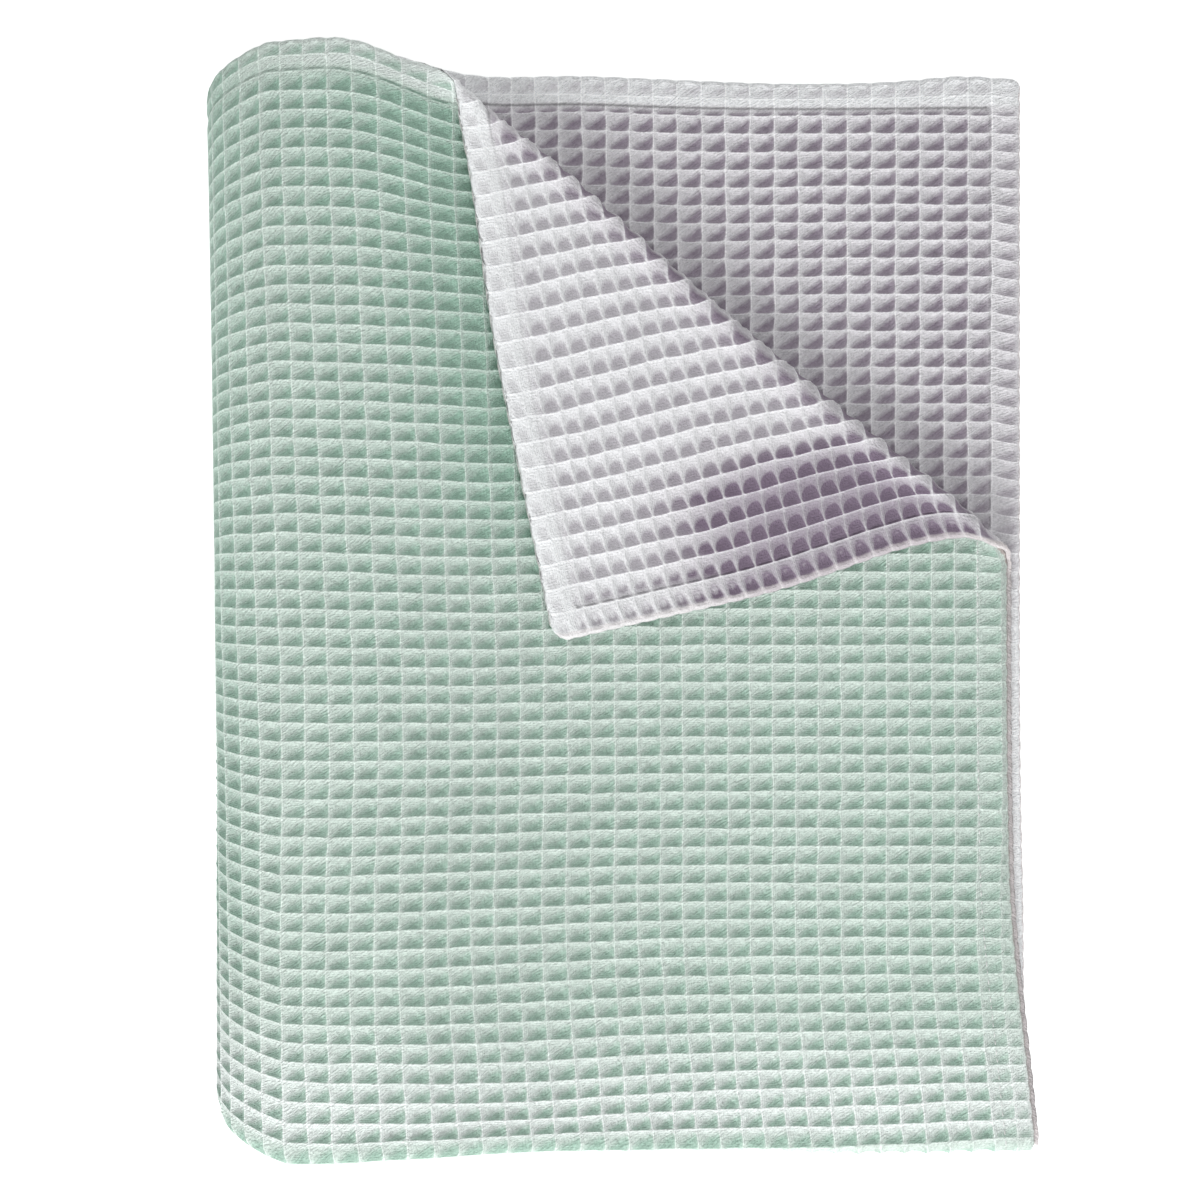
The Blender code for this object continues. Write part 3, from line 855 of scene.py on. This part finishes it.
    # Painted shade: a little by the pocket's depth, on the walls, in rings for the turned hem's dimples,
    # and in patches where the painted light attribute is below zero
    painted_wall_shade = maths("MULTIPLY", maths("MULTIPLY", facing_off_light, maths("MULTIPLY", inside, relief)),
                      by_turn(0.74, 0.57))
    painted_shade = maths("MULTIPLY_ADD", depth, 0.20, painted_wall_shade)
    in_hem = maths("MULTIPLY", clamped(from_side, -0.3, 0.3 * HEM / MM + 1.8), turned)
    radius = maths("ADD", maths("MULTIPLY", part_across, part_across),
                   maths("MULTIPLY", part_along, part_along))
    radius = maths("ADD", maths("POWER", radius, 0.5), maths("MULTIPLY", fray, 2.0))
    ring = clamped(maths("ABSOLUTE", maths("SUBTRACT", radius, 0.42)), -3.0, 1.0)
    painted_shade = maths("MULTIPLY_ADD", in_hem, maths("MULTIPLY_ADD", ring, 0.34, -0.10), painted_shade)
    painted_shade_patches = maths("MULTIPLY", clamped(painted_light_and_shade, -1.0, 0.0), maths("MULTIPLY_ADD", inside, 0.4, 0.45))
    painted_shade_patches = maths("MULTIPLY", painted_shade_patches, maths("MULTIPLY_ADD", facing_off_light, 0.25, 0.75))
    painted_shade = clamped(maths("ADD", painted_shade, painted_shade_patches), 1.0, 0.0)

    # Colour: painted light, where the attribute is above zero, lessens the painted shade in the pockets
    # and blends towards a painted highlight white; crests get a painted highlight on their lit side
    smooth = maths("MULTIPLY", clamped(painted_light_and_shade, 1.0, 0.0), given.outputs["Painted light"])
    painted_shade = maths("MULTIPLY_ADD", painted_shade, maths("MULTIPLY", smooth, by_turn(-0.10, -0.52)), painted_shade)
    body = blend(painted_shade, given.outputs["Ridge"], given.outputs["Pocket shade"])
    painted_highlight = maths("MULTIPLY", smooth, clamped(painted_shade, -1.3, 1.0))
    body = blend(painted_highlight, body, given.outputs["Painted highlight"])
    # Painted highlight on the crests, less on the walls in painted shade
    crest_norm = maths("MAXIMUM", norm_across, maths("MULTIPLY", norm_along, by_turn(1.0, 0.8)))
    crest = clamped(maths("ADD", crest_norm, fray), 14.0, -12.6)
    crest = maths("MULTIPLY", crest, maths("MULTIPLY_ADD", facing_off_light, -0.8, 1.0))
    body = scaled(body, maths("MULTIPLY_ADD", crest, 0.34, 1.0))
    band = maths("SUBTRACT", given.outputs["Edge width"], maths("ADD", from_side, stray))
    band = maths("MULTIPLY", clamped(band, 1.2, 0.5), by_turn(1.0, 0.5))
    body = blend(band, body, given.outputs["Edge"])

    # Tone: uneven by chance, and a painted shadow along the stitch line, darkest between the ridges
    seam_shadow = maths("ADD", from_edge, maths("MULTIPLY", stray, 0.5))
    seam_shadow = clamped(maths("ABSOLUTE", maths("SUBTRACT", seam_shadow, HEM / MM)), -1.2, 1.15)
    seam_shadow_dots = clamped(maths("MINIMUM", norm_across, norm_along), -1.6, 1.5)
    seam_shadow_dots = maths("MULTIPLY", maths("MULTIPLY_ADD", seam_shadow_dots, 0.65, 0.35), seam_shadow_depth)
    seam_shadow = maths("SUBTRACT", 1.0, maths("MULTIPLY", seam_shadow, seam_shadow_dots))
    tone = maths("ADD", maths("MULTIPLY_ADD", noise(place, 1000.0, 2.0, 0.7), 3.0, -1.5),
                 maths("MULTIPLY_ADD", noise(place, 60.0, 2.0), 0.8, -0.4))
    tone = maths("MULTIPLY_ADD", streaks, 1.8, tone)
    tone = maths("MULTIPLY_ADD", tone, given.outputs["Unevenness"], 1.0)
    links.new(scaled(body, maths("MULTIPLY", tone, seam_shadow)), result.inputs["Color"])
    return group


waffle_cotton = waffle_cotton_group()


def cotton_material(name, ridge, pocket, edge, edge_width, painted_light_and_shade, lean, turned_light_lean):
    """Brushed waffle cotton: the group, a bump, and a matte shader with sheen."""
    material = bpy.data.materials.new(name)
    material.use_nodes = True
    nodes, links = material.node_tree.nodes, material.node_tree.links
    surface = nodes["Principled BSDF"]
    weave = nodes.new("ShaderNodeGroup")
    weave.node_tree = waffle_cotton
    # The pocket colour is the painted shade's colour and the white one the painted light's; the leans
    # give the painted light's direction in the cell, and the slant of the combed streaks
    values = {"Ridge": (*ridge, 1.0), "Pocket shade": (*pocket, 1.0), "Edge": (*edge, 1.0),
              "Painted highlight": (0.94, 0.96, 0.97, 1.0), "Thread depth": 0.20, "Fuzz depth": 3.2,
              "Unevenness": 0.21, "Edge width": edge_width, "Painted light": painted_light_and_shade,
              "Light and comb lean across": lean[0], "Light and comb lean along": lean[1],
              "Turned light lean across": turned_light_lean[0], "Turned light lean along": turned_light_lean[1]}
    for label, value in values.items():
        weave.inputs[label].default_value = value
    bump = nodes.new("ShaderNodeBump")
    bump.inputs["Distance"].default_value = 0.25 * MM
    bump.inputs["Strength"].default_value = 1.0
    links.new(weave.outputs["Height"], bump.inputs["Height"])
    links.new(weave.outputs["Color"], surface.inputs["Base Color"])
    links.new(bump.outputs["Normal"], surface.inputs["Normal"])
    surface.inputs["Roughness"].default_value = 0.92
    surface.inputs["Specular IOR Level"].default_value = 0.15
    surface.inputs["Sheen Weight"].default_value = 0.28
    surface.inputs["Sheen Roughness"].default_value = 0.5
    return material


mint = make_cloth("mint_waffle_cloth", MINT_CELLS, MINT_ROWS, mint_place, mint_fine(), side=1,
                  outsets=(-1.6 * MM, 1.1 * MM, -1.6 * MM), end_outset=0.0, rim_width=1.2 * MM,
                  side_relief=0.75, end_relief=0.85, pocket_depth=1.9 * MM,
                  seam_shadows=(0.35, 0.08, 0.1, 0.1), painted_light_at=mint_painted_light, seed=3)
# The pocket colour is the colour of the painted shade, and the leans the direction of the painted light
mint.data.materials.append(cotton_material(
    "Mint waffle cotton", ridge=(0.66, 0.755, 0.70), pocket=(0.35, 0.54, 0.44), edge=(0.42, 0.36, 0.34),
    edge_width=0.5, painted_light_and_shade=0.55, lean=(-0.65, 0.80), turned_light_lean=(-0.65, 0.80)))
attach(mint, "root")
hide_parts("mint_cloth")

# ---------------------------------------------------------------------------
# Pale cloth.  The inner of the two cloths: the same cotton in lavender grey,
# with wider cells.  It shows on the turned corner and on the layer under it,
# and its smooth side edges stand a little past the mint cloth's.
# ---------------------------------------------------------------------------

PALE_CELL_ACROSS = 11.24 * MM
PALE_CELL_ALONG = 8.53 * MM
PALE_FIRST_COLUMN = 12.6 * MM
PALE_FIRST_ROW = 8.6 * MM
PALE_CELLS = 2 + int((ACROSS - PALE_FIRST_COLUMN) / PALE_CELL_ACROSS)
PALE_ROWS = 2 + int((ALONG - PALE_FIRST_ROW) / PALE_CELL_ALONG)

# How the pale lattice lies off its even spacing, in millimetres: on the lower
# layer towards the top hem, and on the turned corner towards its edges
PALE_LOWER_SHIFT = 0.7
PALE_LOWER_MORE = 1.9
PALE_LOWER_RAMP = (0.52, 0.62)
PALE_CORNER_SHIFT = 1.8
PALE_CORNER_RAMP = (0.28, 0.45)


def pale_place(column, row):
    """Flat place of a cell coordinate on the pale cloth, in metres.

    Evenly spaced columns from the side hem, and rows from the lower layer's top
    hem.  The lower layer's rows lie a little nearer to that hem, least beside
    the turned corner, and the corner's rows a little nearer to its own.
    """
    across = line_places(column, PALE_CELLS, PALE_FIRST_COLUMN, PALE_CELL_ACROSS, ACROSS)
    from_hem = line_places(PALE_ROWS - row, PALE_ROWS, PALE_FIRST_ROW, PALE_CELL_ALONG, ALONG)
    along = ALONG - from_hem
    inner = np.clip(column, 0, 1) * np.clip(PALE_CELLS - column, 0, 1)
    inner = inner * np.clip(row, 0, 1) * np.clip(PALE_ROWS - row, 0, 1)
    lower = PALE_LOWER_SHIFT + PALE_LOWER_MORE * smooth_step(from_hem, 0.0, 0.090)
    lower = lower * smooth_step(along, *PALE_LOWER_RAMP)
    lower = lower * (1 - 0.5 * smooth_step(across, 0.070, 0.170))
    corner = PALE_CORNER_SHIFT * (1 - smooth_step(along, *PALE_CORNER_RAMP))
    return across, along + (lower - corner) * inner * MM


def pale_fine():
    """Cells to model finely, front and back: those seen, the edge, the bends."""
    across, along = cell_centres(PALE_CELLS, PALE_ROWS, pale_place)
    turned = past_crease(across, along) > CORNER_BEND_AT
    lower = along > BOTTOM_FOLD_AT
    uncovered = lower & (past_crease(across, ALONG - along) > CORNER_BEND_AT - 0.012)
    margin = lower & (across < 0.030)
    creases = bent(across, along)
    return turned | uncovered | margin | creases | near_edge(PALE_CELLS, PALE_ROWS), creases


def pale_painted_light(across, along, from_end):
    """Painted light above zero, and painted shade below zero, on the pale cloth.

    The end hems are made lighter, painted light lies on the strip under the upper
    layer's edge and on the turned corner, less towards the crease, and painted
    shade lies on the turned corner by its side hem and, a little, in the crease.
    """
    past = past_crease(across, along)
    turned = smooth_step(past, 0.0, TURNED_FULL)
    # Painted light on the turned corner, painted shade by its side hem and in the crease
    smooth = turned * (0.65 - 0.30 * smooth_step(along, 0.020, 0.120))
    back = smooth_step(along, 0.035, 0.120) * (1 - smooth_step(across, 0.045, 0.075)) * turned
    crease = np.exp(-((past - 0.005) / 0.010)**2) * (along < 0.4)
    painted_light_and_shade = smooth * (1 - back) * (1 - crease) - np.maximum(back, 0.2 * crease)
    hem_end = 1 - smooth_step(from_end, HEM - 2.0 * MM, HEM)
    under = (1 - smooth_step(across, 0.010, 0.016)) * hill(along, 0.50, 0.52, 0.74, 0.80)
    hem_end = np.maximum(hem_end, under)
    return hem_end + (1 - hem_end) * painted_light_and_shade


pale = make_cloth("pale_waffle_cloth", PALE_CELLS, PALE_ROWS, pale_place, pale_fine(), side=-1,
                  outsets=(0.6 * MM, 3.0 * MM, 1.2 * MM), end_outset=-0.4 * MM, rim_width=2.6 * MM,
                  side_relief=0.9, end_relief=0.55, pocket_depth=2.3 * MM,
                  seam_shadows=(0.55, 0.30, 0.12, 0.55), painted_light_at=pale_painted_light, seed=5)
# The pocket colour is the colour of the painted shade, and the leans the direction of the painted light
pale.data.materials.append(cotton_material(
    "Pale waffle cotton", ridge=(0.81, 0.80, 0.825), pocket=(0.25, 0.195, 0.265), edge=(0.77, 0.72, 0.72),
    edge_width=3.2, painted_light_and_shade=0.85, lean=(-0.80, -0.90), turned_light_lean=(-1.1, 0.2)))
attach(pale, "root")
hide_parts("pale_cloth")

# ---------------------------------------------------------------------------
# Sewing thread.  The topstitching round the blanket, one hem from the edge,
# through both cloths: a row of short stitches on each face, sunk in the fuzz.
# ---------------------------------------------------------------------------

STITCH = 3.0 * MM
STITCH_PITCH = 4.1 * MM
STITCH_BOW = 0.5 * MM
THREAD_RADIUS = 0.28 * MM
THREAD_END = 0.25
STITCH_RINGS = (0.0, 0.25, 0.5, 0.75, 1.0)
STITCH_SIDES = 4
MINT_FACE = CLOTH_GAP / 2 + 1.75 * MM
PALE_FACE = -CLOTH_GAP / 2 - 1.35 * MM
SEAM_CORNERS = ((HEM, HEM), (ACROSS - HEM, HEM), (ACROSS - HEM, ALONG - HEM), (HEM, ALONG - HEM))


def stitch_row(start, finish, level):
    """Stitches from one flat point to another, as flat places and offsets.

    Each is a tube that thickens by the sine of its length and bows up by it,
    with its ends drawn to points under the cloth's surface.
    """
    start, finish = np.array(start), np.array(finish)
    length = np.linalg.norm(finish - start)
    way = (finish - start) / length
    count = int(length / STITCH_PITCH)
    first = (length - (count - 1) * STITCH_PITCH - STITCH) / 2
    spokes = np.arange(STITCH_SIDES) * 2 * math.pi / STITCH_SIDES
    ring, spoke = np.meshgrid(STITCH_RINGS, spokes, indexing="ij")
    bow = np.sin(np.pi * ring)
    radius = THREAD_RADIUS * (THREAD_END + (1 - THREAD_END) * bow)
    run = first + np.arange(count)[:, None, None] * STITCH_PITCH + STITCH * ring
    aside = np.broadcast_to(radius * np.cos(spoke), run.shape)
    across = start[0] + way[0] * run - way[1] * aside
    along = start[1] + way[1] * run + way[0] * aside
    offset = level + np.sign(level) * (STITCH_BOW * (bow - 1) + radius * np.sin(spoke))
    return np.stack((across, along, np.broadcast_to(offset, run.shape)), axis=-1).reshape(-1, 3)


def stitch_faces(points):
    """Four-sided faces of all stitches: round each tube, and over its two ends."""
    rings = len(STITCH_RINGS)
    ring, spoke = np.meshgrid(np.arange(rings - 1), np.arange(STITCH_SIDES), indexing="ij")
    ring, spoke = ring.ravel() * STITCH_SIDES, spoke.ravel()
    after = (spoke + 1) % STITCH_SIDES
    tube = np.stack((ring + spoke, ring + after,
                     ring + STITCH_SIDES + after, ring + STITCH_SIDES + spoke), axis=-1)
    near_end = np.arange(STITCH_SIDES)[::-1]
    far_end = (rings - 1) * STITCH_SIDES + np.arange(STITCH_SIDES)
    first = np.arange(0, points, rings * STITCH_SIDES)
    return (first[:, None, None] + np.concatenate((tube, [near_end, far_end]))).reshape(-1, 4)


# Three sides of the mint face, whose top hem hides its stitches, and all of the pale
stitches = np.concatenate([stitch_row(SEAM_CORNERS[n], SEAM_CORNERS[(n + 1) % 4], level)
                           for level, sides in ((MINT_FACE, (1, 2, 3)), (PALE_FACE, (0, 1, 2, 3)))
                           for n in sides])
thread_mesh = bpy.data.meshes.new("sewing_thread")
thread_mesh.from_pydata(fold(*stitches.T), [], stitch_faces(len(stitches)))
thread_mesh.shade_smooth()
thread = bpy.data.objects.new("sewing_thread", thread_mesh)
bpy.context.scene.collection.objects.link(thread)
thread_finish = bpy.data.materials.new("Sewing thread")
thread_finish.use_nodes = True
thread_surface = thread_finish.node_tree.nodes["Principled BSDF"]
thread_surface.inputs["Base Color"].default_value = (0.82, 0.83, 0.82, 1.0)
thread_surface.inputs["Roughness"].default_value = 0.7
thread_mesh.materials.append(thread_finish)
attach(thread, "root")

# ---------------------------------------------------------------------------
# Floor, light and camera.  A plain white floor, a soft light from the bottom of
# the picture and a fill from above, and the camera straight above.
# ---------------------------------------------------------------------------

FLOOR_HALF = 4.0
FLOOR_LEVEL = -0.2 * MM

floor_mesh = bpy.data.meshes.new("floor")
floor_mesh.from_pydata([(FLOOR_HALF * i, FLOOR_HALF * j, FLOOR_LEVEL)
                        for i, j in ((-1, -1), (1, -1), (1, 1), (-1, 1))], [], [(0, 1, 2, 3)])
floor = bpy.data.objects.new("floor", floor_mesh)
bpy.context.scene.collection.objects.link(floor)
floor_paint = bpy.data.materials.new("White floor")
floor_paint.use_nodes = True
floor_surface = floor_paint.node_tree.nodes["Principled BSDF"]
floor_surface.inputs["Base Color"].default_value = (0.92, 0.92, 0.92, 1.0)
floor_surface.inputs["Roughness"].default_value = 0.9
floor_surface.inputs["Emission Color"].default_value = (1.0, 1.0, 1.0, 1.0)
floor_surface.inputs["Emission Strength"].default_value = 0.55
floor_mesh.materials.append(floor_paint)


def soft_light(name, place, size, power):
    """A square area light at a place, facing the middle of the blanket."""
    lamp = bpy.data.lights.new(name, "AREA")
    lamp.shape = "SQUARE"
    lamp.size = size
    lamp.energy = power
    light = bpy.data.objects.new(name, lamp)
    bpy.context.scene.collection.objects.link(light)
    x, y, height = place
    light.location = place
    light.rotation_euler = (math.atan2(math.hypot(x, y), height), 0.0, math.atan2(-y, -x) - math.pi / 2)


soft_light("key", (-0.20, -1.85, 0.88), size=1.0, power=32.0)
soft_light("fill", (0.2, -0.2, 2.2), size=1.2, power=7.0)

world = bpy.data.worlds.new("Studio")
world.use_nodes = True
world.node_tree.nodes["Background"].inputs["Color"].default_value = (1.0, 1.0, 1.0, 1.0)
world.node_tree.nodes["Background"].inputs["Strength"].default_value = 0.53
bpy.context.scene.world = world
bpy.context.scene.view_settings.view_transform = "Standard"

CAMERA_HEIGHT = 1.264

lens = bpy.data.cameras.new("camera")
lens.lens = 80.0
lens.sensor_width = 36.0
camera = bpy.data.objects.new("camera", lens)
camera.location = (-CENTRE_X, -CENTRE_Y, CAMERA_HEIGHT)
bpy.context.scene.collection.objects.link(camera)
bpy.context.scene.camera = camera
